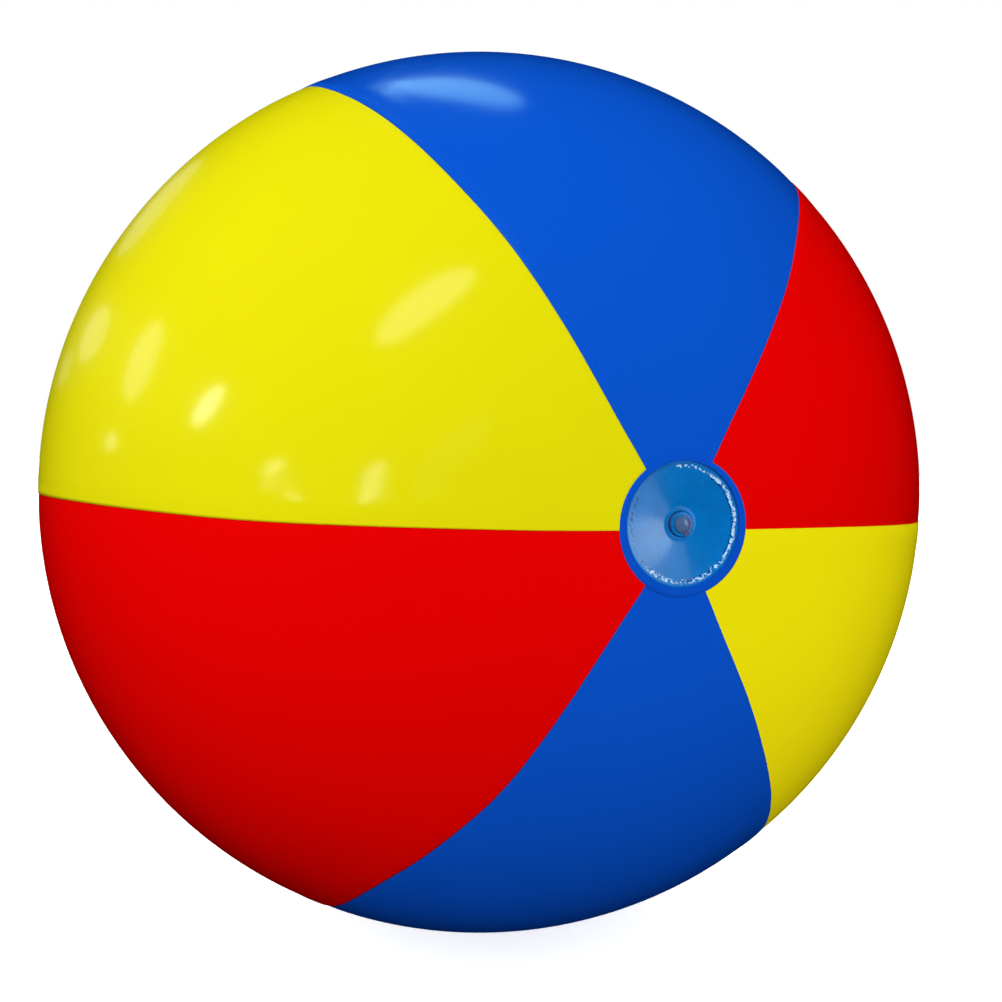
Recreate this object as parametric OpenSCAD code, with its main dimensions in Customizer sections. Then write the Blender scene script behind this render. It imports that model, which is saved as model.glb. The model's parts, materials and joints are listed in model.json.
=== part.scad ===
// Inflatable beach ball: six gores, a patch on each pole and a push-in valve.
// The axis through the two poles lies along Y, with the valve at the -Y pole.
// The ball stands on a small flat at its lowest point, at z = 0. Millimetres.

/* [Ball] */
// Diameter of the blown-up ball
ball_d = 582; // [400:1:620]
// Thickness of the vinyl film
film_t = 0.3; // [0.25:0.05:0.6]
// Diameter of the flat that the ball's weight presses on the ground
flat_d = 45; // [20:1:60]
// Diameter of the small hole that the trimmed gore tips leave under the rear patch
tip_hole_d = 10; // [4:1:20]
// How far to the right of the valve's axis the seams meet
seam_meet_x = -3.5; // [-4:0.1:4]
// How far above the valve's axis the seams meet
seam_meet_z = -2.2; // [-4:0.1:4]

/* [Pole patches] */
// Thickness of both patches
patch_t = 0.4; // [0.3:0.05:0.8]
// Diameter of the round patch on the rear pole
rear_patch_d = 64; // [40:1:90]
// Outer diameter of the ring patch around the valve
ring_patch_d = 60.4; // [58:0.2:70]
// Diameter of the hole through the ring patch and the gore tips
patch_hole_d = 53.6; // [50:0.2:54]

/* [Valve flange] */
// Outer diameter of the flange, welded under the gore tips
flange_d = 59.6; // [56:0.2:60]
// Thickness of the flange
flange_t = 0.8; // [0.6:0.1:1.2]
// Diameter at which the flange starts to dip towards the stem
dish_d = 46; // [40:1:48]
// How far the dish dips
dish_depth = 3; // [1:0.1:4]
// Diameter of the hole that the stem moves through
lip_hole_d = 12.4; // [12.2:0.1:13]
// Width of the raised lip around that hole
lip_w = 1.2; // [0.8:0.1:2]
// Height of the lip above the dish
lip_h = 0.5; // [0.3:0.1:0.8]
// Diameter of the weld bead near the flange's edge
weld_d = 49; // [48:0.5:50]

/* [Valve stem] */
// Outer diameter of the stem
stem_d = 9.2; // [9:0.1:9.4]
// Diameter of the stem's bore
bore_d = 6; // [5.6:0.1:6.2]
// Length of the stem
stem_length = 15.4; // [14:0.1:18]
// Depth of the stem's mouth below the ball's surface when it is pushed in
mouth_depth = 2.65; // [2.4:0.05:3]
// Depth of the collar that carries the folding web, below the ball's surface
collar_depth = 12.05; // [11:0.05:13]
// Diameter of the collar
collar_d = 10.8; // [10.6:0.1:11]
// Diameter of the bead around the stem's mouth
bead_d = 10.4; // [10:0.1:10.6]
// Height of the bead
bead_h = 1; // [0.8:0.1:1.2]

/* [Check valve] */
// Outer diameter of the seat ring pressed into the stem's inner end
seat_d = 7.4; // [7:0.1:7.6]
// Diameter of the hole in the seat ring
seat_hole_d = 4.4; // [3.6:0.1:4.8]
// Length of the seat ring
seat_length = 1.8; // [1.4:0.1:2.4]
// Diameter of the flap
flap_d = 6; // [5.4:0.1:6.2]
// Thickness of the flap
flap_t = 0.5; // [0.3:0.05:0.6]
// Distance from the valve's axis to the flap's hinge line
flap_hinge_offset = 3.2; // [3.1:0.05:3.5]

/* [Plug] */
// Diameter of the plug's head
head_d = 7.6; // [7:0.1:8]
// Height of the plug's head at its middle
head_h = 2; // [1.6:0.1:2.4]
// Largest diameter of the plug's nose, which closes the bore
nose_d = 5.7; // [5.4:0.05:5.8]
// Length of the nose
nose_length = 4.8; // [4:0.1:5]
// Width of the strap that ties the plug to the stem
strap_w = 2.6; // [2:0.1:3.2]
// Thickness of the strap
strap_t = 0.7; // [0.5:0.05:0.8]
// Direction of the strap around the valve's axis, from +X towards +Z
strap_angle = -60; // [-150:5:-30]

/* [Hidden] */

$fn = 144;

ball_r = ball_d / 2;
flat_r = flat_d / 2;
// Height of the ball's centre above the ground
centre_z = sqrt(ball_r * ball_r - flat_r * flat_r);

// Seams around the seam axis, from +X towards +Z. The gores are welded by hand, so each
// seam strays a few degrees from its even sixth of the ball.
GORE_COUNT = 6;
seam_stray = [-0.5, -2.5, 0, 0, 1, 1.5];
function seam_angle(n) = 360 / GORE_COUNT * n + seam_stray[n % GORE_COUNT];

// The gores are first made this much too thick, then hollowed out to the film's thickness
rough_t = 3;

// A cutting shape reaches this far past the faces it cuts through
overshoot = 1;
// Gap between the valve's parts that move against each other, half of it on each part
clearance = 0.1;
// Thickness of the folding web
web_t = 0.5;
// Height of the plug head's straight side below its dome
head_rim_h = 1;
// How far the strap's end is welded into the plug's head
strap_weld = 0.3;
// Radial thickness and height of the strap's ring, and thickness of its tab
ring_wall = 0.95;
ring_h = 1.2;
tab_wall = 0.4;

mouth_h = -mouth_depth;
// The hinge line of the strap, level with the middle of its thickness
strap_hinge_offset = 5.4;
strap_hinge_h = mouth_h + clearance / 2 + strap_t / 2;
strap_top_h = strap_hinge_h + strap_t / 2;
stem_end_h = mouth_h - stem_length;
dish_rim_h = surface_h(dish_d / 2) - film_t;
dish_floor_h = dish_rim_h - dish_depth;
lip_floor_h = dish_floor_h - flange_t;

// Height of the ball's outer surface above its pole, at a distance r from the pole axis
function surface_h(r) = sqrt(ball_r * ball_r - r * r) - ball_r;

// Turns +Z to the valve's direction, -Y, about the ball's centre
module on_pole_axis() translate([0, 0, centre_z]) rotate([90, 0, 0]) children();

// The same, with the origin at the valve pole on the ball's surface
module at_valve_pole() on_pole_axis() translate([0, 0, ball_r]) children();

// Cross-section of a layer of the ball between two radii, from the valve's end to the rear
module layer(outer_r, inner_r, front_r, rear_r) {
    intersection() {
        difference() {
            circle(r = outer_r);
            circle(r = inner_r);
        }
        polygon([
            [front_r, 0], [front_r, 2 * ball_r], [2 * ball_r, 2 * ball_r],
            [2 * ball_r, -2 * ball_r], [rear_r, -2 * ball_r], [rear_r, 0],
        ]);
    }
}

// The axis that the seams run round. The valve is welded a little off the point where they meet.
module on_seam_axis()
    on_pole_axis()
        rotate([-atan(seam_meet_z / ball_r), atan(seam_meet_x / ball_r), 0])
            children();

// One layer of the ball, swept from one seam to the next
module gore_sweep(n, outer_r, inner_r) {
    on_seam_axis()
        rotate_extrude(angle = seam_angle(n + 1) - seam_angle(n), start = seam_angle(n))
            layer(outer_r, inner_r, tip_hole_d / 2, tip_hole_d / 2);
}

module above(z) translate([-ball_d, -ball_d, z]) cube([2 * ball_d, 2 * ball_d, 2 * ball_d]);

// The hole cut through the gore tips for the valve
module valve_hole() on_pole_axis() cylinder(d = patch_hole_d, h = 2 * ball_r);

module gore(n) {
    difference() {
        gore_sweep(n, ball_r, ball_r - film_t);
        valve_hole();
    }
}

// The gore that stands on the ground keeps its thickness across the flat
module standing_gore(n) {
    difference() {
        intersection() {
            gore_sweep(n, ball_r, ball_r - rough_t);
            above(0);
        }
        intersection() {
            gore_sweep(n, ball_r - film_t, ball_r - 2 * rough_t);
            above(film_t);
        }
        valve_hole();
    }
}

module right_red_gore() color("red") gore(0);
module top_blue_gore() color("royalblue") gore(1);
module left_yellow_gore() color("yellow") gore(2);
module left_red_gore() color("red") gore(3);
module bottom_blue_gore() color("royalblue") standing_gore(4);
module right_yellow_gore() color("yellow") gore(5);

// Welded over the gore tips, round the valve
module ring_patch() {
    color("mediumblue") on_pole_axis()
        rotate_extrude() intersection() {
            layer(ball_r + patch_t, ball_r, patch_hole_d / 2, patch_hole_d / 2);
            square([ring_patch_d / 2, 2 * ball_r]);
        }
}

// Closes the other pole
module rear_patch() {
    color("mediumblue") on_pole_axis()
        rotate_extrude() intersection() {
            layer(ball_r + patch_t, ball_r, 0, 0);
            translate([0, -2 * ball_r]) square([rear_patch_d / 2, 2 * ball_r]);
        }
}

// The brim lies against the film, then the flange dips in a shallow cone to its lip
module valve_flange() {
    lip_inner = lip_hole_d / 2;
    lip_outer = lip_inner + lip_w;
    lip_top = dish_floor_h + lip_h;
    edge = lip_w / 5;
    // The dish is welded into the brim over the middle half of the brim's thickness
    weld_in = flange_t / 4;
    color("dodgerblue") on_pole_axis() rotate_extrude() {
        intersection() {
            layer(ball_r - film_t, ball_r - film_t - flange_t, dish_d / 2, dish_d / 2);
            square([flange_d / 2, 2 * ball_r]);
        }
        translate([0, ball_r]) polygon([
            [dish_d / 2 + edge, surface_h(dish_d / 2 + edge) - film_t - weld_in],
            [dish_d / 2, dish_rim_h],
            [lip_outer, dish_floor_h], [lip_outer - edge, lip_top],
            [lip_inner + edge, lip_top], [lip_inner, lip_top - edge],
            [lip_inner, lip_floor_h], [lip_outer, lip_floor_h],
            [dish_d / 2, dish_rim_h - flange_t],
            [dish_d / 2 + edge, surface_h(dish_d / 2 + edge) - film_t - flange_t + weld_in],
        ]);
        translate([weld_d / 2, ball_r + surface_h(weld_d / 2) - film_t]) circle(d = flange_t);
    }
}

// Thin skirt that turns inside out when the stem is pulled
module valve_web() {
    web_top_h = lip_floor_h;
    web_bottom_h = -collar_depth + clearance / 2;
    web_top_r = lip_hole_d / 2 + clearance;
    web_bottom_r = stem_d / 2 + clearance;
    color("dodgerblue") at_valve_pole() rotate_extrude()
        polygon([
            [web_top_r, web_top_h], [web_top_r + web_t, web_top_h],
            [web_bottom_r + web_t, web_bottom_h], [web_bottom_r, web_bottom_h],
        ]);
}

module valve_stem() {
    color("dodgerblue") at_valve_pole() difference() {
        rotate_extrude() {
            translate([0, stem_end_h]) square([stem_d / 2, stem_length]);
            translate([0, mouth_h - bead_h]) square([bead_d / 2, bead_h]);
            translate([0, -collar_depth - bead_h]) square([collar_d / 2, bead_h]);
        }
        translate([0, 0, stem_end_h - overshoot]) {
            cylinder(d = bore_d, h = stem_length + 2 * overshoot);
            cylinder(d = seat_d, h = seat_length + overshoot);
        }
    }
}

module check_seat() {
    color("gainsboro") at_valve_pole() translate([0, 0, stem_end_h]) difference() {
        cylinder(d = seat_d, h = seat_length);
        translate([0, 0, -overshoot]) cylinder(d = seat_hole_d, h = seat_length + 2 * overshoot);
    }
}

// Soft disc that hangs over the seat's hole and swings into the ball
module check_flap() {
    tab_w = flap_d / 2;
    color("gainsboro") at_valve_pole()
        translate([0, 0, stem_end_h - clearance - flap_t])
            linear_extrude(flap_t) {
                circle(d = flap_d);
                translate([-tab_w / 2, 0]) square([tab_w, flap_hinge_offset - clearance / 2]);
            }
}

// Turns +X to the strap's direction
module along_strap() at_valve_pole() rotate([0, 0, strap_angle]) children();

// Ring under the stem's bead, with the tab that the strap hinges on
module strap_ring() {
    ring_inner = stem_d / 2 + clearance / 2;
    ring_top_h = mouth_h - bead_h - clearance / 2;
    tab_inner = bead_d / 2 + clearance / 2;
    color("mistyrose") along_strap() {
        difference() {
            translate([0, 0, ring_top_h - ring_h]) cylinder(r = ring_inner + ring_wall, h = ring_h);
            translate([0, 0, ring_top_h - ring_h - overshoot])
                cylinder(r = ring_inner, h = ring_h + 2 * overshoot);
        }
        translate([tab_inner, -strap_w / 2, ring_top_h - ring_h])
            cube([tab_wall, strap_w, ring_h + bead_h - clearance]);
    }
}

module plug_strap() {
    strap_start = head_d / 2 - strap_weld;
    color("mistyrose") along_strap()
        translate([strap_start, -strap_w / 2, strap_top_h - strap_t])
            cube([strap_hinge_offset - clearance / 2 - strap_start, strap_w, strap_t]);
}

// The nose's side is an arc about the hinge line, so it swings out of the bore without rubbing
module valve_plug() {
    nose_r = nose_d / 2;
    head_under_h = mouth_h + clearance / 2;
    arc_r = norm([strap_hinge_offset + nose_r, strap_hinge_h - head_under_h]);
    dome_h = head_h - head_rim_h;
    dome_r = (head_d * head_d / 4 + dome_h * dome_h) / (2 * dome_h);
    color("mistyrose") along_strap() difference() {
        rotate_extrude() {
            intersection() {
                translate([0, head_under_h]) square([head_d / 2, head_h]);
                translate([0, head_under_h + head_h - dome_r]) circle(r = dome_r);
            }
            intersection() {
                translate([0, head_under_h - nose_length]) square([nose_r, nose_length + head_h / 2]);
                translate([-strap_hinge_offset, strap_hinge_h]) circle(r = arc_r);
            }
        }
        // Room for the end of the strap, which is welded into the head's edge
        translate([head_d / 2 - strap_weld, -strap_w / 2, strap_top_h - strap_t])
            cube([head_d, strap_w, strap_t]);
    }
}

right_red_gore();
top_blue_gore();
left_yellow_gore();
left_red_gore();
bottom_blue_gore();
right_yellow_gore();
ring_patch();
rear_patch();
valve_flange();
valve_web();
valve_stem();
check_seat();
check_flap();
strap_ring();
plug_strap();
valve_plug();
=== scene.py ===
"""Looks of the inflatable beach ball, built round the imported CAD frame. Metres throughout."""
import json
import math

import bmesh
import bpy
import numpy as np
from mathutils import Matrix, Vector, noise


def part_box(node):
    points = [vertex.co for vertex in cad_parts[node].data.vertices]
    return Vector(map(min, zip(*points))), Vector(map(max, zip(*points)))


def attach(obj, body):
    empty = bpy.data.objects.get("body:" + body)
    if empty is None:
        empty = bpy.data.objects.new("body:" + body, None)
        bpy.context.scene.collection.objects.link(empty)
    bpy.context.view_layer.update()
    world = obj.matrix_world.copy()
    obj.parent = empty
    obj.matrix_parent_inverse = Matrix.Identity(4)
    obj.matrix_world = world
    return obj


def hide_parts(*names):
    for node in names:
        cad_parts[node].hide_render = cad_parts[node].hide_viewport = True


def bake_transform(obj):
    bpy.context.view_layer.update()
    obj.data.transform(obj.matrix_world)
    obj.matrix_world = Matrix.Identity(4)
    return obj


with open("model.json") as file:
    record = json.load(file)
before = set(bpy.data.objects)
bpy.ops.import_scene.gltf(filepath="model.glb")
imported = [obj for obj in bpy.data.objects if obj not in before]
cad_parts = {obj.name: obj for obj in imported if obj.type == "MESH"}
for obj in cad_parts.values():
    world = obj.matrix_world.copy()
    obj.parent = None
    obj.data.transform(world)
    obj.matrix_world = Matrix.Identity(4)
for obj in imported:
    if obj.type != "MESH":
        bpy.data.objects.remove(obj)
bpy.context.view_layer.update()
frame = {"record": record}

MM = 0.001

# ---------------------------------------------------------------- the frame
MOUNTS = {m["name"]: m for m in frame["record"]["mounts"]}
JOINTS = {j["name"]: j for j in frame["record"]["behaviour"]["joints"]}
CENTRE = Vector((0, 0, MOUNTS["pump_port"]["pos_m"][2]))
BALL_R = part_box("top_blue_gore")[1].z - CENTRE.z
# The two ends of the pole axis, as the direction of Y
FRONT, REAR = -1, 1


def node_radius(node):
    """Outer radius of a round node about the valve's axis."""
    low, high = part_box(node)
    return (high.x - low.x) / 2


def node_heights(node):
    """Inner and outer end of a node, as heights above the valve pole."""
    low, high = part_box(node)
    return -high.y - BALL_R, -low.y - BALL_R


RING_R = node_radius("ring_patch")
FLANGE_R = node_radius("valve_flange")
COLLAR_R = node_radius("valve_stem")
SEAT_R = node_radius("check_seat")
FLAP_R = node_radius("check_flap")
REAR_PATCH_R = node_radius("rear_patch")
STEM_LOW, MOUTH_H = node_heights("valve_stem")
WEB_LOW = node_heights("valve_web")[0]
SEAT_LOW, SEAT_TOP = node_heights("check_seat")
FLAP_LOW, FLAP_TOP = node_heights("check_flap")
PLUG_LOW, PLUG_TOP = node_heights("valve_plug")
RING_LOW = node_heights("strap_ring")[0]

# Sizes that the frame's boxes don't give. They are the CAD model's, but for the dish, the lip and the
# strap's tab, which follow the photograph more closely.
HOLE_R = 26.8 * MM
FILM = 0.3 * MM
PATCH_T = 0.4 * MM
DISH_R = 26.4 * MM
DISH_DEPTH = 2.75 * MM
FLANGE_T = 0.8 * MM
LIP_R = 5.28 * MM
LIP_W = 1.9 * MM
LIP_H = 0.1 * MM
STEM_R = 4.6 * MM
BORE_R = 3 * MM
BEAD_R = 5.2 * MM
BEAD_H = 1 * MM
SEAT_HOLE_R = 2.2 * MM
HEAD_R = 3.8 * MM
HEAD_H = 2 * MM
HEAD_RIM = 1 * MM
NOSE_R = 2.85 * MM
STRAP_W = 2.6 * MM
STRAP_T = 0.7 * MM
TAB_T = 0.36 * MM
TAB_R = 5.28 * MM
# The strap leaves the plug this far round from the right, below it
STRAP_TURN = math.radians(-60)
STRAP_HINGE_R = 5.4 * MM
STRAP_HINGE_H = -JOINTS["plug_hinge"]["pos_m"][1] - BALL_R

# Where the film of one gore is welded over the next
LAP = 5 * MM
LAP_LIFT = 0.34 * MM
LAP_SLOPE = 14 * MM
# Near the valve a lap takes up no more of the turn than this
MOST_LAP_TURN = math.radians(18)
# The seams run round an axis that misses the valve by this much, across and up
SEAM_MEET = Vector((-3.5 * MM, -2.2 * MM))
# The gores' tips are cut off this far from the seams' rear pole, and this far inside the ring
TIP_R = 12 * MM
TIP_INSIDE_RING = 0.2 * MM
# How far each seam strays from its even sixth of the ball, in degrees, at these angles
# from the seams' pole. The gores are cut and welded by hand.
SEAM_KNOTS = (9, 18, 27, 36, 48, 63, 90, 135)
SEAM_STRAY = (
    (0, -0.2, -0.5, -0.8, -1, -1, -0.5, -0.5),
    (0, -1.4, -2.4, -2.8, -4.3, -6.2, -4, -2.5),
    (0.5, -0.7, -1, -0.4, 0.1, 0.6, -0.5, 0),
    (0.8, 0.5, 0.4, 0.3, -0.1, -0.3, 0, 0),
    (-0.1, 1.2, 1.8, 0.8, 0.1, 1.9, 3.5, 1),
    (-0.1, 1.2, 1.8, 2.4, 2.5, 2, 1.5, 1.5),
)


# ---------------------------------------------------------------- materials
# Noise scales, in cycles a metre
DRIFT_SCALE = 7
SCUFF_SCALE = 38
GRAIN_SCALE = 900
RIPPLE_SCALE = 24
WEAVE_SCALE = 1500
MOULD_DRIFT_SCALE = 120
MOULD_STREAK_SCALE = 260
MOULD_SHEEN_SCALE = 300
MOULD_GRAIN_SCALE = 700
FILM_RELIEF = 0.07 * MM
MOULD_RELIEF = 0.05 * MM
# Painted glints and painted shade on the weld: white where its crimps stand up, dark blue where they
# are pressed in
PAINTED_GLINT_WHITE = (0.6, 0.8, 0.98)
PAINTED_SHADE_BLUE = (0, 0.03, 0.16)


def new_material(name, base, roughness, **sockets):
    """A principled material with its constants set on its own sockets."""
    material = bpy.data.materials.new(name)
    material.use_nodes = True
    shader = material.node_tree.nodes["Principled BSDF"]
    shader.inputs["Base Color"].default_value = (*base, 1)
    shader.inputs["Roughness"].default_value = roughness
    for socket, value in sockets.items():
        shader.inputs[socket.replace("_", " ")].default_value = value
    return material, shader


def add_node(material, kind, **inputs):
    """A node with its unlinked inputs set by name."""
    node = material.node_tree.nodes.new(kind)
    for socket, value in inputs.items():
        node.inputs[socket.replace("_", " ")].default_value = value
    return node


def link(material, source, target):
    material.node_tree.links.new(source, target)


def noise_node(material, place, scale, detail=3, rough=0.5):
    node = add_node(material, "ShaderNodeTexNoise", Scale=scale, Detail=detail, Roughness=rough)
    link(material, place, node.inputs["Vector"])
    return node.outputs["Fac"]


def spread(material, value, low, high, from_low=0.3, from_high=0.7):
    """Maps a noise's middle range to low..high."""
    node = add_node(material, "ShaderNodeMapRange")
    ends = {"From Min": from_low, "From Max": from_high, "To Min": low, "To Max": high}
    for socket, number in ends.items():
        node.inputs[socket].default_value = number
    link(material, value, node.inputs["Value"])
    return node.outputs["Result"]


def arithmetic(material, operation, first, second):
    node = material.node_tree.nodes.new("ShaderNodeMath")
    node.operation = operation
    for socket, value in zip(node.inputs, (first, second)):
        if isinstance(value, (int, float)):
            socket.default_value = value
        else:
            link(material, value, socket)
    return node.outputs[0]


def attribute_node(material, name):
    node = material.node_tree.nodes.new("ShaderNodeAttribute")
    node.attribute_name = name
    return node.outputs["Fac"]


def mixed(material, factor, first, second):
    """Mixes two colours, each either a colour or another node's output."""
    mix = material.node_tree.nodes.new("ShaderNodeMix")
    mix.data_type = "RGBA"
    link(material, factor, mix.inputs[0])
    for socket, colour in ((mix.inputs[6], first), (mix.inputs[7], second)):
        if isinstance(colour, tuple):
            socket.default_value = (*colour, 1)
        else:
            link(material, colour, socket)
    return mix.outputs[2]


def tinted(material, shader, base, amount, factor):
    """Lets the colour drift by amount either side of base."""
    low, high = (tuple(min(1, c * share) for c in base) for share in (1 - amount, 1 + amount))
    link(material, mixed(material, factor, low, high), shader.inputs["Base Color"])


def bumped(material, shader, height, distance, strength=1.0):
    bump = add_node(material, "ShaderNodeBump", Strength=strength, Distance=distance)
    link(material, height, bump.inputs["Height"])
    link(material, bump.outputs["Normal"], shader.inputs["Normal"])


def film_material(name, base, halo, halo_level, coat, rough=0.3):
    """Glossy calendered vinyl film: a fine grain, faint scuffs, and a pressed weave along the welds.

    halo and halo_level are the colour and strength of the blurred reflection under the coat.
    """
    material, shader = new_material(
        name, base, rough,
        Specular_IOR_Level=halo_level, Specular_Tint=(*halo, 1),
        Coat_Weight=coat, Coat_Roughness=0.11, Coat_IOR=1.7,
    )
    place = add_node(material, "ShaderNodeTexCoord").outputs["Object"]
    drift = spread(material, noise_node(material, place, DRIFT_SCALE), 0, 1)
    tinted(material, shader, base, 0.02, drift)
    weld = attribute_node(material, "weld")
    scuffs = noise_node(material, place, SCUFF_SCALE, 6, 0.7)
    scuffs = spread(material, scuffs, rough - 0.02, rough + 0.04, 0.5, 0.75)
    pressed = arithmetic(material, "MULTIPLY", weld, 0.12)
    link(material, arithmetic(material, "ADD", scuffs, pressed), shader.inputs["Roughness"])
    grain = arithmetic(material, "MULTIPLY", noise_node(material, place, GRAIN_SCALE, 2), 0.25)
    ripple = noise_node(material, place, RIPPLE_SCALE, 2)
    weave_depth = arithmetic(material, "MULTIPLY", weld, 0.4)
    weave = arithmetic(material, "MULTIPLY", noise_node(material, place, WEAVE_SCALE, 1), weave_depth)
    height = arithmetic(material, "ADD", arithmetic(material, "ADD", grain, ripple), weave)
    bumped(material, shader, height, FILM_RELIEF)
    return material


def colour_source(shader):
    """The output that feeds the shader's colour."""
    return shader.inputs["Base Color"].links[0].from_socket


def moulding_material(name, base, roughness, subsurface, depth, streak=None):
    """Soft moulded vinyl that lets some light in. streak is a second colour that runs through it."""
    material, shader = new_material(
        name, base, roughness,
        Subsurface_Weight=subsurface, Subsurface_Scale=depth, Specular_IOR_Level=0.2,
        Coat_Weight=0.8, Coat_Roughness=0.1, Coat_IOR=1.5,
    )
    place = add_node(material, "ShaderNodeTexCoord").outputs["Object"]
    drift = spread(material, noise_node(material, place, MOULD_DRIFT_SCALE), 0, 1)
    tinted(material, shader, base, 0.08, drift)
    if streak:
        share = spread(material, noise_node(material, place, MOULD_STREAK_SCALE), 0, 0.8, 0.5, 0.62)
        colour = mixed(material, share, colour_source(shader), streak)
        link(material, colour, shader.inputs["Base Color"])
    sheen = noise_node(material, place, MOULD_SHEEN_SCALE, 4)
    sheen = spread(material, sheen, roughness - 0.05, roughness + 0.08)
    link(material, sheen, shader.inputs["Roughness"])
    bumped(material, shader, noise_node(material, place, MOULD_GRAIN_SCALE, 3), MOULD_RELIEF)
    return material


def weld_glint_material(name, base, roughness, subsurface, depth):
    """Moulded vinyl with a crimped weld, painted white as glints where the crimp stands up and dark as
    shade where it is pressed in.
    """
    material = moulding_material(name, base, roughness, subsurface, depth)
    shader = material.node_tree.nodes["Principled BSDF"]
    glint_and_shade_mask = attribute_node(material, "crimp_glint_and_shade")
    colour = colour_source(shader)
    # raised crimps are painted white as glints, pressed ones dark blue as shade
    for low, high, changed in ((0.1, 0.6, PAINTED_GLINT_WHITE), (-0.1, -0.5, PAINTED_SHADE_BLUE)):
        colour = mixed(material, spread(material, glint_and_shade_mask, 0, 0.9, low, high), colour, changed)
    link(material, colour, shader.inputs["Base Color"])
    return material


YELLOW = film_material("yellow_film", (0.74, 0.69, 0.003), (1, 1, 0.05), 0.12, 0.43)
RED = film_material("red_film", (0.775, 0.0005, 0.0005), (1, 0.1, 0.1), 0.12, 0.43)
BLUE = film_material("blue_film", (0.003, 0.085, 0.59), (0.16, 1, 1), 0.7, 0.03, 0.17)
PATCH_BLUE = film_material("patch_film", (0.003, 0.08, 0.56), (0.1, 1, 1), 0.5, 0.3)
CLEAR_BLUE = moulding_material("clear_blue_vinyl", (0.001, 0.14, 0.45), 0.25, 0.2, 1.5 * MM)
WELD_GLINT_BLUE = weld_glint_material("welded_blue_vinyl_painted_glints", (0.001, 0.14, 0.45), 0.2, 0.15, 1.5 * MM)
CLEAR = moulding_material("clear_vinyl", (0.62, 0.66, 0.7), 0.25, 0.4, 2 * MM)
MILKY = moulding_material("plug_vinyl", (0.06, 0.12, 0.26), 0.3, 0.4, 1.5 * MM, (0.13, 0.06, 0.14))


# ---------------------------------------------------------------- mesh helpers
def finish_piece(piece, material, body, nodes, bevel_angle=40):
    """Gives a piece its material, shading and body, if one is given, and hides the CAD nodes it stands
    for.
    """
    mesh = piece.data
    mesh.materials.append(material)
    mesh.shade_smooth()
    mesh.set_sharp_from_angle(angle=math.radians(bevel_angle))
    if body:
        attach(piece, body)
    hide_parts(*nodes)
    return piece


def new_piece(name, points, faces):
    mesh = bpy.data.meshes.new(name)
    mesh.from_pydata([tuple(p) for p in points], [], [tuple(int(i) for i in f) for f in faces])
    mesh.update()
    piece = bpy.data.objects.new(name, mesh)
    bpy.context.scene.collection.objects.link(piece)
    return piece


def clean(piece):
    """Joins doubled points and turns every face outwards."""
    cage = bmesh.new()
    cage.from_mesh(piece.data)
    bmesh.ops.remove_doubles(cage, verts=cage.verts, dist=1e-7)
    bmesh.ops.dissolve_degenerate(cage, edges=cage.edges, dist=1e-7)
    bmesh.ops.recalc_face_normals(cage, faces=cage.faces)
    cage.to_mesh(piece.data)
    cage.free()


def pole_points(radius, turn, height, end=FRONT):
    """Points at a radius and turn about the pole axis, at a height above the ball's surface there."""
    radius, turn, height = np.broadcast_arrays(radius, turn, height)
    return np.stack(
        [radius * np.cos(turn), end * (BALL_R + height), CENTRE.z + radius * np.sin(turn)], -1)


def from_valve(point):
    """Distance of a world point from the pole axis."""
    return math.hypot(point.x, point.z - CENTRE.z)


def surface_h(radius):
    """Height of the ball's surface above its pole at this distance from the axis."""
    return math.sqrt(BALL_R ** 2 - radius ** 2) - BALL_R


def smooth(x):
    x = np.clip(x, 0, 1)
    return x * x * (3 - 2 * x)


def rounded(corners, size, steps=4):
    """A closed outline with its corners rounded off to this size."""
    outline = []
    count = len(corners)
    for i, corner in enumerate(corners):
        here = Vector(corner)
        before = Vector(corners[i - 1]) - here
        after = Vector(corners[(i + 1) % count]) - here
        reach = min(size, 0.45 * before.length, 0.45 * after.length)
        start = here + before.normalized() * reach
        end = here + after.normalized() * reach
        for k in range(steps + 1):
            t = k / steps
            outline.append(start * (1 - t) ** 2 + here * 2 * t * (1 - t) + end * t ** 2)
    return outline


def divided(outline, longest, closed=True):
    """The outline with points added so that no step is longer than this."""
    result = []
    ends = outline[1:] + outline[:1] if closed else outline[1:]
    for a, b in zip(outline, ends):
        count = max(1, math.ceil((b - a).length / longest))
        result += [a.lerp(b, k / count) for k in range(count)]
    return result if closed else result + [outline[-1]]


def lathe(name, outline, segments, end=FRONT, relief=None, closed=True):
    """Turns an outline of (radius, height) round the pole axis.

    relief(radius, turn, height) moves points out. An outline that isn't closed is an open sheet,
    or ends on the axis.
    """
    radius = np.array([max(p.x, 0) for p in outline])
    height = np.array([p.y for p in outline])
    turn = np.linspace(0, 2 * math.pi, segments, endpoint=False)
    grid_r, grid_t = np.meshgrid(radius, turn)
    grid_h = np.broadcast_to(height, grid_r.shape).copy()
    if relief:
        grid_h += relief(grid_r, grid_t, grid_h)
    points = pole_points(grid_r, grid_t, grid_h, end).reshape(-1, 3)
    rows = len(outline)
    faces = []
    for i in range(segments):
        here, there = i * rows, (i + 1) % segments * rows
        for k in range(rows if closed else rows - 1):
            after = (k + 1) % rows
            faces.append((here + k, here + after, there + after, there + k))
    piece = new_piece(name, points, faces)
    clean(piece)
    return piece


# ---------------------------------------------------------------- the gores
def seam_frame():
    """Turns the pole frame (x, z, out) to the axis that the seams run round."""
    across = math.atan(SEAM_MEET.x / BALL_R)
    up = -math.atan(SEAM_MEET.y / BALL_R)
    return np.array(Matrix.Rotation(across, 3, "Y") @ Matrix.Rotation(up, 3, "X"))


SEAM_FRAME = seam_frame()


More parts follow.
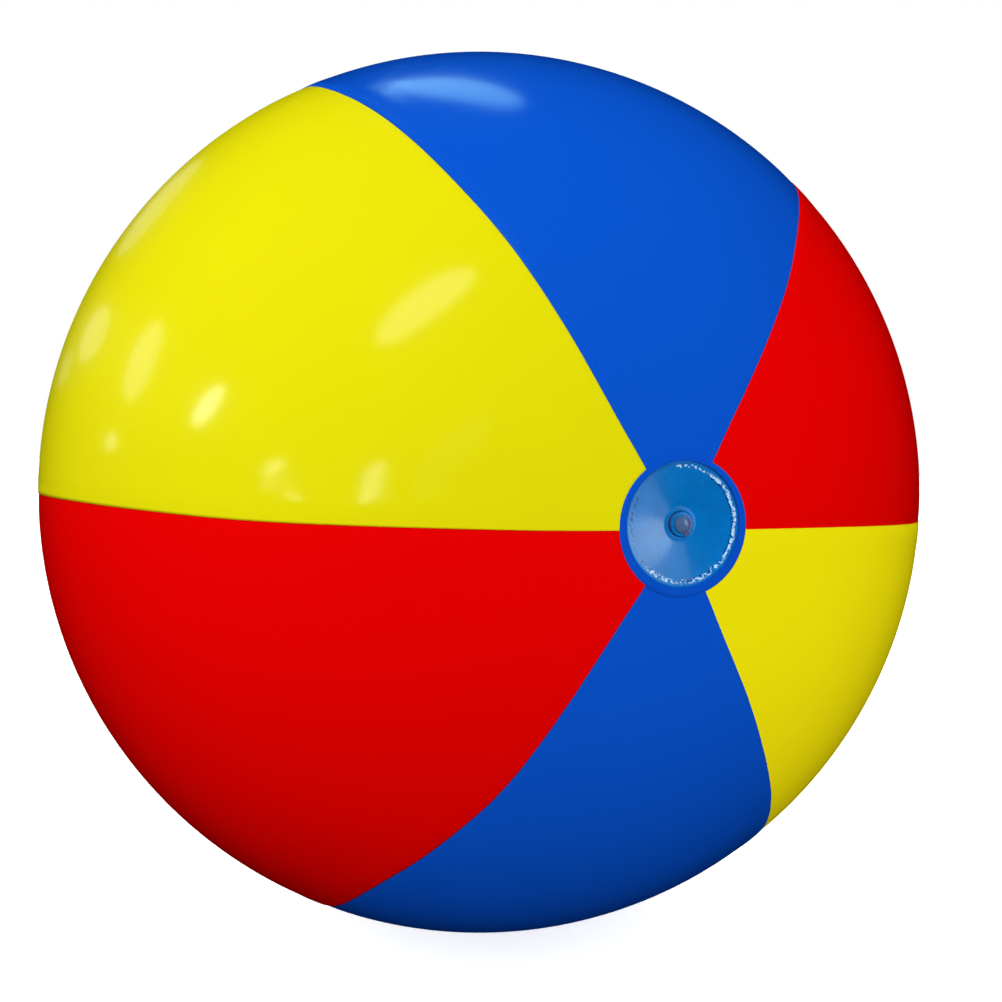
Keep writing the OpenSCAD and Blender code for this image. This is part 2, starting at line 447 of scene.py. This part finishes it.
def seam_turn(number, polar):
    """Turn of a seam round the seam axis at these angles from its pole, both in radians."""
    stray = SEAM_STRAY[number % len(SEAM_STRAY)]
    degrees = np.degrees(polar)
    knots = np.array(SEAM_KNOTS, float)
    place = np.clip(np.searchsorted(knots, degrees) - 1, 0, len(knots) - 2)
    share = np.clip((degrees - knots[place]) / (knots[place + 1] - knots[place]), 0, 1)
    padded = np.array([stray[0], *stray, stray[-1]], float)
    before, here, there, after = (padded[place + k] for k in range(4))
    bend = 0.5 * (
        2 * here + (there - before) * share
        + (2 * before - 5 * here + 4 * there - after) * share ** 2
        + (3 * here - before - 3 * there + after) * share ** 3
    )
    return np.radians(60 * number + bend)


def first_polar(turn):
    """Angle from the seam pole at which a gore's tip is cut by the valve's hole."""
    meet = SEAM_MEET.x * np.cos(turn) + SEAM_MEET.y * np.sin(turn)
    edge = HOLE_R + TIP_INSIDE_RING
    reach = -meet + np.sqrt(meet ** 2 + edge ** 2 - SEAM_MEET.length_squared)
    return np.arcsin(reach / BALL_R)


# The film is drawn in by this much at a weld, and puckers in waves of this length along it. Both
# fade away from the weld over the reach given, and in the last stretch before the valve.
DRAW, DRAW_REACH = 0.35 * MM, 9 * MM
PUCKER, PUCKER_REACH, PUCKER_WAVE = 0.05 * MM, 14 * MM, 4.3 * MM
VALVE_STRETCH = 25 * MM
# The film lies this far inside the CAD ball's surface, so that laps stay close to it
FILM_SINK = 0.02 * MM
# How far the mesh is crowded towards the welds and the valve
CROWD_ACROSS, CROWD_ALONG = 0.11, 0.09


def gore_turn(number, polar, share):
    """Turn of a gore at these polar angles, at a share of its width. It begins under its neighbour."""
    tuck = np.minimum(LAP / (BALL_R * np.sin(polar)), MOST_LAP_TURN)
    first = seam_turn(number, polar) - tuck
    return first + (seam_turn(number + 1, polar) - first) * share


def gore(name, number, material, node, across=56, along=190):
    """One film panel. Its first edge lies under the gore before it, its last edge over the next one."""
    u = np.linspace(0, 1, across + 1)
    v = np.linspace(0, 1, along + 1)
    u = u - CROWD_ACROSS * np.sin(2 * math.pi * u)
    v = v - CROWD_ALONG * np.sin(math.pi * v) * (1 - v)
    grid_u, grid_v = np.meshgrid(u, v)
    start = first_polar(np.radians(60 * (number + grid_u)))
    for _ in range(3):  # the cut depends on the turn, which depends on the cut
        start = first_polar(gore_turn(number, start, grid_u))
    end = math.pi - math.asin(TIP_R / BALL_R)
    polar = start + (end - start) * grid_v
    around = BALL_R * np.sin(polar)
    turn = gore_turn(number, polar, grid_u)
    from_last = (seam_turn(number + 1, polar) - turn) * around
    from_first = (turn - seam_turn(number, polar)) * around
    from_seam = np.minimum(from_last, np.abs(from_first))
    lift = LAP_LIFT * smooth((LAP + LAP_SLOPE - from_last) / LAP_SLOPE)
    draw = DRAW * np.exp(-from_seam / DRAW_REACH)
    wave = polar * BALL_R / PUCKER_WAVE + 1.7 * np.sin(polar * 9 + number) + 2 * number
    pucker = PUCKER * np.exp(-from_seam / PUCKER_REACH) * np.sin(wave)
    away = smooth((polar - start) * BALL_R / VALVE_STRETCH)
    radius = BALL_R - FILM_SINK + lift - (draw + pucker) * away
    out = np.stack([np.sin(polar) * np.cos(turn), np.sin(polar) * np.sin(turn), np.cos(polar)], -1)
    out = out @ SEAM_FRAME.T * radius[..., None]
    points = np.stack([out[..., 0], -out[..., 2], np.maximum(out[..., 1] + CENTRE.z, 0)], -1)
    columns = across + 1
    index = np.arange(columns * (along + 1)).reshape(along + 1, columns)
    faces = np.stack(
        [index[:-1, :-1], index[1:, :-1], index[1:, 1:], index[:-1, 1:]], -1).reshape(-1, 4)
    piece = new_piece(name, points.reshape(-1, 3), faces)
    weld = smooth((LAP + 1 * MM - from_last) / (1.2 * MM)) * smooth(from_last / (0.6 * MM))
    attribute = piece.data.attributes.new("weld", "FLOAT", "POINT")
    attribute.data.foreach_set("value", weld.astype(np.float32).ravel())
    thick = piece.modifiers.new("film", "SOLIDIFY")
    thick.thickness = FILM
    thick.offset = -1
    return finish_piece(piece, material, "shell", [node], 60)


gore("film_right_red", 0, RED, "right_red_gore")
gore("film_top_blue", 1, BLUE, "top_blue_gore")
gore("film_left_yellow", 2, YELLOW, "left_yellow_gore")
gore("film_left_red", 3, RED, "left_red_gore")
# more faces, for the edge of the flat that the ball stands on
gore("film_bottom_blue", 4, BLUE, "bottom_blue_gore", across=90, along=240)
right_yellow = gore("film_right_yellow", 5, YELLOW, "right_yellow_gore")


# ---------------------------------------------------------------- patches
# A patch lies this far above the ball's surface, over the laps, and slopes down at its outer edge
PATCH_LIFT = 0.36 * MM
EDGE_DROP, EDGE_SLOPE = 0.3 * MM, 1.2 * MM
PATCH_ROUND = 0.12 * MM
PATCH_STEPS = 12
# Width of the lip that is pressed down round the hole
HOLE_LIP = 0.15 * MM


def patch_outline(inner, outer):
    """Section of a patch over the welded gore tips.

    The edge round a hole is pressed down over the cut tips to the flange below.
    """
    under, over = PATCH_LIFT, PATCH_LIFT + PATCH_T
    radii = [inner + (outer - inner) * k / PATCH_STEPS for k in range(PATCH_STEPS + 1)]

    def sink(radius):
        return EDGE_DROP * float(smooth((radius - outer + EDGE_SLOPE) / EDGE_SLOPE))

    top = [(r, surface_h(r) + over - sink(r)) for r in radii]
    bottom = [(r, surface_h(r) + under - sink(r)) for r in reversed(radii)]
    if inner:
        lip = inner + HOLE_LIP
        bottom[-1:] = [(lip, surface_h(lip) + under), (lip, surface_h(lip) - FILM),
                       (inner, surface_h(inner) - FILM)]
    outline = rounded(top + bottom, PATCH_ROUND, 3)
    if not inner:
        middle = [Vector((0, surface_h(0) + height)) for height in (over, under)]
        outline = [middle[0], *(p for p in outline if p.x > 1 * MM), middle[1]]
    return outline


# The ring is cut with its hole a little high and to the left
RING_SAG = 0.8 * MM
RING_SHIFT = 0.3 * MM


def ring_relief(radius, turn, height):
    """A hand-welded ring isn't quite even."""
    return 0.05 * MM * np.sin(3 * turn + 1) + 0.035 * MM * np.sin(11 * turn + 4 * np.sin(2 * turn))


def rear_relief(radius, turn, height):
    """The same, but fading towards the middle of the patch."""
    return ring_relief(radius, turn, height) * smooth(radius / (20 * MM))


ring = lathe("patch_ring", patch_outline(HOLE_R, RING_R), 256, FRONT, ring_relief)
for vertex in ring.data.vertices:
    share = float(smooth((from_valve(vertex.co) - HOLE_R) / (RING_R - HOLE_R)))
    vertex.co.z -= RING_SAG * share
    vertex.co.x += RING_SHIFT * share
finish_piece(ring, PATCH_BLUE, "shell", ["ring_patch"])
rear = lathe("patch_rear", patch_outline(0, REAR_PATCH_R), 192, REAR, rear_relief, closed=False)
finish_piece(rear, PATCH_BLUE, "shell", ["rear_patch"])


# ---------------------------------------------------------------- valve flange and web
DISH_TOP = surface_h(DISH_R) - FILM
DISH_FLOOR = DISH_TOP - DISH_DEPTH
WELD_R = 24.6 * MM
WELD_REACH = 1.7 * MM
WELD_STEP = 0.16 * MM
WELD_HEIGHT = 0.3 * MM
FLANGE_SEGMENTS = 960
# Halfway through the flange at the weld: what is above it is the flange's top side
WELD_UNDERSIDE = surface_h(WELD_R) - FILM - FLANGE_T / 2
# Sectors of the weld: middle and reach in degrees, anticlockwise from the right
# The weld's painted glints sit where the lamps catch it, on the right, at the bottom and a few at the
# top, and its painted shade on the left
RIDGE_SECTOR = (12, 48)
TANGLE_SECTOR = (278, 52)
FLECK_SECTOR = (88, 22)
PIT_SECTOR = (172, 30)
FAINT_PIT_SECTOR = (225, 25)


def sector(turn, middle, reach):
    """1 inside a sector of the weld, falling softly to 0 outside it."""
    gap = abs((math.degrees(turn) - middle + 180) % 360 - 180)
    return float(smooth((reach + 8 - gap) / 16))


def ridge_at(off, width):
    """1 on a line round the weld, fading off it. off and width are in millimetres."""
    return math.exp(-(off / width) ** 2)


def crimp_glint_and_shade(x, y):
    """How far the crimped weld stands up (towards 1) or is pressed in (towards -1) at this place. The
    same value paints the weld white as glints where it stands up and dark as shade where it is pressed
    in.
    """
    def blotch(layer, scale):
        return noise.noise(Vector((x, y, layer)) * scale)

    radius, turn = math.hypot(x, y), math.atan2(y, x)
    circle = Vector((math.cos(turn), math.sin(turn), 0))
    wander = noise.noise(circle * 3 + Vector((0, 0, 5)))
    jitter = noise.noise(circle * 14 + Vector((0, 0, 9)))
    off = (radius - WELD_R) / MM - 0.4 * wander - 0.3 * jitter
    ridge, tangle = sector(turn, *RIDGE_SECTOR), sector(turn, *TANGLE_SECTOR)
    flecks = sector(turn, *FLECK_SECTOR)
    pits = max(sector(turn, *PIT_SECTOR), 0.7 * sector(turn, *FAINT_PIT_SECTOR))
    # two frayed raised lines along the ridge, also painted white as glints, with a pressed line of
    # painted shade beside them
    fray = blotch(6 * MM, 1500)
    gap = 1.1 + 2.2 * blotch(2, 520)
    inner = ridge_at(off + 0.5 * fray, 0.36) * smooth(gap + 1.2 * fray)
    outer = 0.8 * ridge_at(off - 0.75 + 0.6 * fray, 0.2) * smooth(1.5 * fray + gap - 0.5)
    shade = ridge_at(off + 0.85 + 0.4 * fray, 0.3) * smooth(0.9 + 2 * fray) * ridge
    # fine tangled strands, and scattered pits and flecks, painted white as glints where raised and dark
    # as shade where pressed
    strands = abs(blotch(0, 560)) + 0.5 * abs(blotch(3 * MM, 1400))
    knots = math.exp(-(off / 1.05) ** 4) * (1 - min(1, strands / 0.3))
    dots = max(ridge_at(off + 0.6, 0.55) * smooth(5 * blotch(1, 800) - 0.3), shade)
    spots = ridge_at(off, 0.6) * smooth(5 * blotch(4, 700) - 0.4)
    raised = max(ridge * max(inner, outer), 0.95 * tangle * knots, 0.5 * ridge * knots, flecks * spots)
    pressed = max(pits * dots, 0.8 * ridge * dots, 0.7 * tangle * dots)
    return raised - (1 - raised) * pressed


def flange_section():
    """Section of the dish and brim, with points close together only along the weld."""
    lip_out = LIP_R + LIP_W
    edge = LIP_W / 4
    start, stop = WELD_R - WELD_REACH, WELD_R + WELD_REACH
    top = [(LIP_R, DISH_FLOOR + LIP_H - edge), (LIP_R + edge, DISH_FLOOR + LIP_H),
           (lip_out - edge, DISH_FLOOR + LIP_H), (lip_out + edge, DISH_FLOOR + 0.05 * MM),
           (DISH_R, DISH_TOP)]
    bottom = [(r, surface_h(r) - FILM - FLANGE_T) for r in (FLANGE_R, DISH_R)]
    bottom += [(lip_out, DISH_FLOOR - FLANGE_T), (LIP_R, DISH_FLOOR - FLANGE_T)]
    section = rounded(top + [(FLANGE_R, surface_h(FLANGE_R) - FILM - 0.05 * MM)] + bottom, 0.3 * MM, 4)
    section = divided(section, 1.5 * MM)
    refined = []
    for here, there in zip(section, section[1:] + section[:1]):
        steps = 1
        if there.x > here.x and start - 1.5 * MM < here.x < stop:
            steps = max(1, round((there - here).length / WELD_STEP))
        refined += [here.lerp(there, k / steps) for k in range(steps)]
    return refined


def weld_relief(radius, turn, height):
    """Height of the crimped weld on the flange's top side."""
    lift = np.zeros(radius.shape)
    for place in np.ndindex(radius.shape):
        reach, angle = radius[place], turn[place]
        if abs(reach - WELD_R) < WELD_REACH and height[place] > WELD_UNDERSIDE:
            lift[place] = crimp_glint_and_shade(reach * math.cos(angle), reach * math.sin(angle))
    return WELD_HEIGHT * lift


flange = lathe("moulded_flange", flange_section(), FLANGE_SEGMENTS, FRONT, weld_relief)
# the same crimp as an attribute, for the painted glints and painted shade in the weld's colour
glint_and_shade_mask = flange.data.attributes.new("crimp_glint_and_shade", "FLOAT", "POINT")
for index, vertex in enumerate(flange.data.vertices):
    height = -vertex.co.y - BALL_R
    if abs(from_valve(vertex.co) - WELD_R) < WELD_REACH and height > WELD_UNDERSIDE - WELD_HEIGHT:
        glint_and_shade_mask.data[index].value = crimp_glint_and_shade(vertex.co.x, vertex.co.z - CENTRE.z)
finish_piece(flange, WELD_GLINT_BLUE, "shell", ["valve_flange"], 60)

WEB_T = 0.4 * MM
WEB_STEPS = 28
web_start = Vector((LIP_R + 0.15 * MM, DISH_FLOOR - FLANGE_T / 2))
web_line = [web_start.lerp(Vector((STEM_R, WEB_LOW)), k / WEB_STEPS) for k in range(WEB_STEPS + 1)]
web = lathe("folding_web", web_line, 128, closed=False)
web_skin = web.modifiers.new("skin", "SOLIDIFY")
web_skin.thickness = WEB_T
web_skin.offset = 0
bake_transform(web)
finish_piece(web, CLEAR_BLUE, None, ["valve_web"], 60)


# ---------------------------------------------------------------- stem and check valve
COLLAR_TOP = WEB_LOW - 0.05 * MM
stem_corners = [
    (BORE_R, MOUTH_H), (BEAD_R, MOUTH_H), (BEAD_R, MOUTH_H - BEAD_H), (STEM_R, MOUTH_H - BEAD_H),
    (STEM_R, COLLAR_TOP), (COLLAR_R, COLLAR_TOP), (COLLAR_R, COLLAR_TOP - BEAD_H),
    (STEM_R, COLLAR_TOP - BEAD_H), (STEM_R, STEM_LOW), (SEAT_R, STEM_LOW), (SEAT_R, SEAT_TOP),
    (BORE_R, SEAT_TOP),
]
stem = lathe("moulded_stem", rounded(stem_corners, 0.25 * MM), 128)
finish_piece(stem, CLEAR_BLUE, "stem", ["valve_stem"])

seat_corners = [(SEAT_HOLE_R, SEAT_TOP), (SEAT_R - 0.03 * MM, SEAT_TOP),
                (SEAT_R - 0.03 * MM, SEAT_LOW), (SEAT_HOLE_R, SEAT_LOW)]
seat = lathe("check_valve_seat", rounded(seat_corners, 0.2 * MM), 96)
finish_piece(seat, CLEAR, "stem", ["check_seat"])


def slab(name, outline, low, high, edge, to_world):
    """A flat piece with rounded edges: an outline of (x, y) given thickness from low to high."""
    layers = ((low, edge), (low + edge, 0), (high - edge, 0), (high, edge))
    middle = sum(outline, Vector((0, 0))) / len(outline)
    points, faces = [], []
    count = len(outline)
    for height, inset in layers:
        for corner in outline:
            inward = (middle - corner).normalized() * inset
            points.append(to_world(corner.x + inward.x, corner.y + inward.y, height))
    for layer in range(len(layers) - 1):
        for i in range(count):
            a, b = layer * count + i, layer * count + (i + 1) % count
            faces.append((a, b, b + count, a + count))
    for layer, height in ((0, low), (len(layers) - 1, high)):
        points.append(to_world(middle.x, middle.y, height))
        first = layer * count
        faces += [(first + i, first + (i + 1) % count, len(points) - 1) for i in range(count)]
    piece = new_piece(name, points, faces)
    clean(piece)
    return piece


def in_valve(x, y, height):
    """A point given across, up and out along the valve's axis."""
    return (x, -(BALL_R + height), CENTRE.z + y)


FLAP_STEPS = 44


def flap_outline():
    """A round flap with a tab that reaches up to the seat's edge, where it is welded."""
    root = SEAT_R - 0.1 * MM
    half = FLAP_R / 2
    join = math.acos(half / FLAP_R)
    arc = [math.pi - join + (math.pi + 2 * join) * k / FLAP_STEPS for k in range(FLAP_STEPS + 1)]
    disc = [Vector((FLAP_R * math.cos(a), FLAP_R * math.sin(a))) for a in arc]
    return divided(disc + [Vector((half, root)), Vector((-half, root))], 0.3 * MM)


# The flap's tab bends about its hinge, from 0.3 mm above it to 0.7 mm below it
flap = slab("check_valve_flap", flap_outline(), FLAP_LOW, FLAP_TOP, 0.08 * MM, in_valve)
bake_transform(flap)
finish_piece(flap, CLEAR, None, ["check_flap"], 30)


# ---------------------------------------------------------------- plug, strap and ring
DOME_STEPS = 10
NOSE_STEPS = 12


def plug_outline():
    """Dome and rounded nose, from the middle of the dome to the tip of the nose.

    The nose's side is an arc about the strap's hinge, so that it swings clear of the bore.
    """
    under = PLUG_TOP - HEAD_H
    dome_h = HEAD_H - HEAD_RIM
    dome_r = (HEAD_R ** 2 + dome_h ** 2) / (2 * dome_h)
    arc_r = math.hypot(STRAP_HINGE_R + NOSE_R, STRAP_HINGE_H - under)
    dome = [HEAD_R * k / DOME_STEPS for k in range(DOME_STEPS)]
    outline = [Vector((r, PLUG_TOP - dome_r + math.sqrt(dome_r ** 2 - r ** 2))) for r in dome]
    edge = rounded([(HEAD_R * 0.96, under + HEAD_RIM), (HEAD_R, under + HEAD_RIM * 0.9),
                    (HEAD_R, under), (NOSE_R, under)], 0.2 * MM, 4)[3:16]
    outline += edge
    for k in range(NOSE_STEPS + 1):
        height = under - 0.1 * MM - (under - PLUG_LOW - 0.4 * MM) * k / NOSE_STEPS
        reach = math.sqrt(arc_r ** 2 - (STRAP_HINGE_H - height) ** 2) - STRAP_HINGE_R
        outline.append(Vector((reach, height)))
    tip = outline[-1]
    outline += [Vector((tip.x * 0.75, PLUG_LOW + 0.08 * MM)), Vector((0, PLUG_LOW))]
    return outline


plug = lathe("plug", plug_outline(), 96, closed=False)
finish_piece(plug, MILKY, "plug", ["valve_plug"], 50)

RING_IN = STEM_R + 0.03 * MM
RING_OUT = STEM_R + 0.55 * MM
RING_H = 1.2 * MM
ring_corners = [(RING_IN, RING_LOW + RING_H), (RING_OUT, RING_LOW + RING_H),
                (RING_OUT, RING_LOW), (RING_IN, RING_LOW)]
strap_hoop = lathe("strap_hoop", rounded(ring_corners, 0.3 * MM), 96)
finish_piece(strap_hoop, MILKY, "stem", ["strap_ring"])


BEND_R = 0.5 * MM
BEND_STEP = math.radians(15)
STRAP_STEP = 0.2 * MM
# The strap thins from STRAP_T to TAB_T over this stretch
THINNING = 0.6 * MM


def strap_line():
    """Middle line of the strap, as (radius, height): out from the plug's head and down to the hoop."""
    line = [Vector((HEAD_R - 0.5 * MM, STRAP_HINGE_H)), Vector((TAB_R - BEND_R, STRAP_HINGE_H))]
    bend = Vector((TAB_R - BEND_R, STRAP_HINGE_H - BEND_R))
    line += [bend + BEND_R * Vector((math.sin(BEND_STEP * k), math.cos(BEND_STEP * k)))
             for k in range(1, 6)]
    line += [Vector((TAB_R, STRAP_HINGE_H - 0.6 * MM)), Vector((TAB_R, RING_LOW + 0.3 * MM))]
    return divided(line, STRAP_STEP, closed=False)


def strap():
    """One bent ribbon from the plug's head over the stem's bead and down to the hoop."""
    along = strap_line()
    points, faces = [], []
    outline = rounded([(-0.5, -0.5), (0.5, -0.5), (0.5, 0.5), (-0.5, 0.5)], 0.22, 5)
    for i, here in enumerate(along):
        ahead = along[min(i + 1, len(along) - 1)] - along[max(i - 1, 0)]
        normal = Vector((-ahead.y, ahead.x)).normalized()
        inside = float(smooth((STRAP_HINGE_R - 0.5 * MM - here.x) / THINNING))
        thick = TAB_T + (STRAP_T - TAB_T) * inside
        for corner in outline:
            off = here + normal * corner.y * thick
            side = corner.x * STRAP_W
            x = off.x * math.cos(STRAP_TURN) - side * math.sin(STRAP_TURN)
            y = off.x * math.sin(STRAP_TURN) + side * math.cos(STRAP_TURN)
            points.append(in_valve(x, y, off.y))
    count = len(outline)
    for i in range(len(along) - 1):
        for k in range(count):
            a, b = i * count + k, i * count + (k + 1) % count
            faces.append((a, b, b + count, a + count))
    faces.append(tuple(range(count)))
    faces.append(tuple(range((len(along) - 1) * count, len(along) * count)))
    piece = new_piece("strap", points, faces)
    clean(piece)
    return piece


ribbon = strap()
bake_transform(ribbon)
finish_piece(ribbon, MILKY, None, ["plug_strap"], 60)


# ---------------------------------------------------------------- floor and world
FLOOR_SIZE = 60
# The floor glows a little, as a lit sweep does, so that the ball's shadow on it stays pale
FLOOR_GLOW = 0.7
FLOOR_GREY = (0.9, 0.9, 0.9)

floor_paint, floor_shader = new_material(
    "pale_floor", FLOOR_GREY, 0.9, Emission_Color=(1, 1, 1, 1), Emission_Strength=FLOOR_GLOW)
floor_place = add_node(floor_paint, "ShaderNodeTexCoord").outputs["Object"]
tinted(floor_paint, floor_shader, FLOOR_GREY, 0.01, noise_node(floor_paint, floor_place, 3))
floor_paint.cycles.emission_sampling = "NONE"
half = FLOOR_SIZE / 2
floor_corners = [(-half, -half, 0), (half, -half, 0), (half, half, 0), (-half, half, 0)]
floor = new_piece("floor", floor_corners, [(0, 1, 2, 3)])
floor.location.z = -0.3 * MM
floor.data.materials.append(floor_paint)
floor.visible_glossy = False
floor.visible_diffuse = False
floor.visible_shadow = False

# The white world is there for the camera alone. The lamps light the ball.
world = bpy.data.worlds.new("studio")
bpy.context.scene.world = world
world.use_nodes = True
world.node_tree.nodes["Background"].inputs["Color"].default_value = (1, 1, 1, 1)
world.cycles_visibility.glossy = False
world.cycles_visibility.diffuse = False
world.cycles.sampling_method = "NONE"


# ---------------------------------------------------------------- lights
def direction_to(azimuth, elevation):
    """Azimuth 0 is straight in front of the valve, and 90 is +X."""
    azimuth, elevation = math.radians(azimuth), math.radians(elevation)
    return Vector((math.sin(azimuth) * math.cos(elevation),
                   -math.cos(azimuth) * math.cos(elevation), math.sin(elevation)))


def add_lamp(name, light, place, right, up, toward):
    lamp = bpy.data.objects.new(name, light)
    lamp.matrix_world = Matrix.Translation(place) @ Matrix((right, up, toward)).transposed().to_4x4()
    lamp.visible_camera = False
    bpy.context.scene.collection.objects.link(lamp)
    return lamp


def light_only(lamp, pieces):
    """Keeps a lamp's light to these pieces, if any are given."""
    if pieces:
        group = bpy.data.collections.new(lamp.name + "_lit")
        for piece in pieces:
            group.objects.link(piece)
        lamp.light_linking.receiver_collection = group


WHITE = (1, 1, 1)


def wash(name, azimuth, elevation, strength, spread_angle, only=None, colour=WHITE):
    """Soft even light from far away, which lights the colours but makes no highlight."""
    light = bpy.data.lights.new(name, "SUN")
    light.energy = strength * math.pi
    light.angle = math.radians(spread_angle)
    light.color = colour
    light.cycles.use_multiple_importance_sampling = False
    toward = direction_to(azimuth, elevation)
    right = Vector((0, 1, 0)).cross(toward).normalized()
    lamp = add_lamp(name, light, CENTRE + 3 * toward, right, toward.cross(right), toward)
    lamp.visible_glossy = False
    light_only(lamp, only)


def softbox(name, azimuth, elevation, distance, width, height, twist, radiance, aim=None, only=None,
            colour=WHITE):
    """An elliptical lamp facing the ball, or the point aim, with its long axis turned by twist."""
    place = CENTRE + distance * direction_to(azimuth, elevation)
    toward = (place - (aim or CENTRE)).normalized()
    right = toward.cross(Vector((0, 0, 1))).normalized()
    up = right.cross(toward)
    twist = math.radians(twist)
    long_axis = right * math.cos(twist) + up * math.sin(twist)
    light = bpy.data.lights.new(name, "AREA")
    light.shape = "ELLIPSE"
    light.color = colour
    light.size = width
    light.size_y = height
    light.energy = radiance * width * height * math.pi ** 2 / 4
    lamp = add_lamp(name, light, place, long_axis, toward.cross(long_axis), toward)
    light_only(lamp, only)


# The light off the floor on the right is a little warm
WARM = (1, 0.72, 0.72)
wash("front_wash", -20, 18, 0.98, 70)
wash("right_wash", 88, -2, 0.52, 70)
wash("left_wash", -118, 28, 0.6, 70)
wash("rear_wash", 160, 38, 0.9, 90)
wash("top_wash", 163, 82, 0.08, 70)
wash("low_wash", 72, -38, 0.45, 70, [right_yellow], WARM)

# The lamps that make the highlights, at this distance from the ball's middle
STUDIO = 1.8
# The lamps above and by the valve are a cool blue
SKY = (0.48, 0.92, 1)
COOL = (0.85, 1, 1)
softbox("top_bank", 179.2, 73, STUDIO, 0.74, 0.3, 58, 1.65, colour=SKY)
softbox("top_tail", -169.5, 61.9, 1.85, 0.22, 0.07, 81, 0.9, colour=SKY)
softbox("left_bank", -33.3, 41.3, STUDIO, 0.76, 0.23, 132, 2.8)
softbox("side_window", -79.8, 15.8, STUDIO, 0.28, 0.13, 124, 8)
softbox("side_bank", -104, 20.2, STUDIO, 0.42, 0.28, 89, 1.6)
softbox("back_left_bank", -130.6, 18.7, STUDIO, 0.42, 0.24, 166, 0.7)
softbox("side_spot", -107.1, 6.7, STUDIO, 0.13, 0.09, 0, 2.2)
softbox("low_window_a", -61.2, 5.6, STUDIO, 0.15, 0.07, 155, 5)
softbox("low_window_b", -56.8, 2.4, STUDIO, 0.16, 0.045, 17, 3.5)
softbox("low_window_c", -39.8, 4.4, STUDIO, 0.24, 0.09, 122, 4.4)
softbox("faint_streak", -23.5, 10.8, STUDIO, 0.7, 0.2, 134, 0.2)
softbox("rear_left_bank", -149, 31, STUDIO, 0.5, 0.42, 0, 0.36)
softbox("rear_left_strip", -142.3, 11.5, STUDIO, 0.3, 0.13, 168, 0.22)
softbox("rear_bank", 166, 17, STUDIO, 0.7, 0.4, 20, 2)
VALVE_PIECES = [flange, plug, ribbon, strap_hoop, stem, web]
VALVE = Vector((0, -BALL_R, CENTRE.z))
softbox("valve_bank", 33.4, 3.4, 1.02, 0.38, 0.2, 64, 3.0, VALVE, VALVE_PIECES, COOL)
softbox("valve_fill", 31.5, 4.2, 1.04, 0.64, 0.4, 62, 1.0, VALVE, VALVE_PIECES, COOL)


# ---------------------------------------------------------------- camera
CAMERA_AZIMUTH = -17.04
CAMERA_ELEVATION = 2.27
CAMERA_DISTANCE = 2.2 * BALL_R
CAMERA_ROLL = 1.33
CAMERA_SENSOR = 36
CAMERA_LENS = 31.02
# The lens points a little to the right of and below the ball's centre
AIM_RIGHT = 13.1 * MM
AIM_UP = -4.9 * MM


def place_camera():
    back = direction_to(CAMERA_AZIMUTH, CAMERA_ELEVATION)
    azimuth = math.radians(CAMERA_AZIMUTH)
    right = Vector((math.cos(azimuth), math.sin(azimuth), 0))
    aim = CENTRE + AIM_RIGHT * right + AIM_UP * back.cross(right)
    place = CENTRE + CAMERA_DISTANCE * back
    back = (place - aim).normalized()
    right = Vector((0, 0, 1)).cross(back).normalized()
    turn = Matrix((right, back.cross(right), back)).transposed()
    camera = bpy.data.objects.new("camera", bpy.data.cameras.new("camera"))
    camera.data.sensor_width = CAMERA_SENSOR
    camera.data.lens = CAMERA_LENS
    camera.matrix_world = (
        Matrix.Translation(place) @ turn.to_4x4() @ Matrix.Rotation(math.radians(CAMERA_ROLL), 4, "Z"))
    bpy.context.scene.collection.objects.link(camera)
    bpy.context.scene.camera = camera


place_camera()
bpy.context.scene.view_settings.view_transform = "Standard"
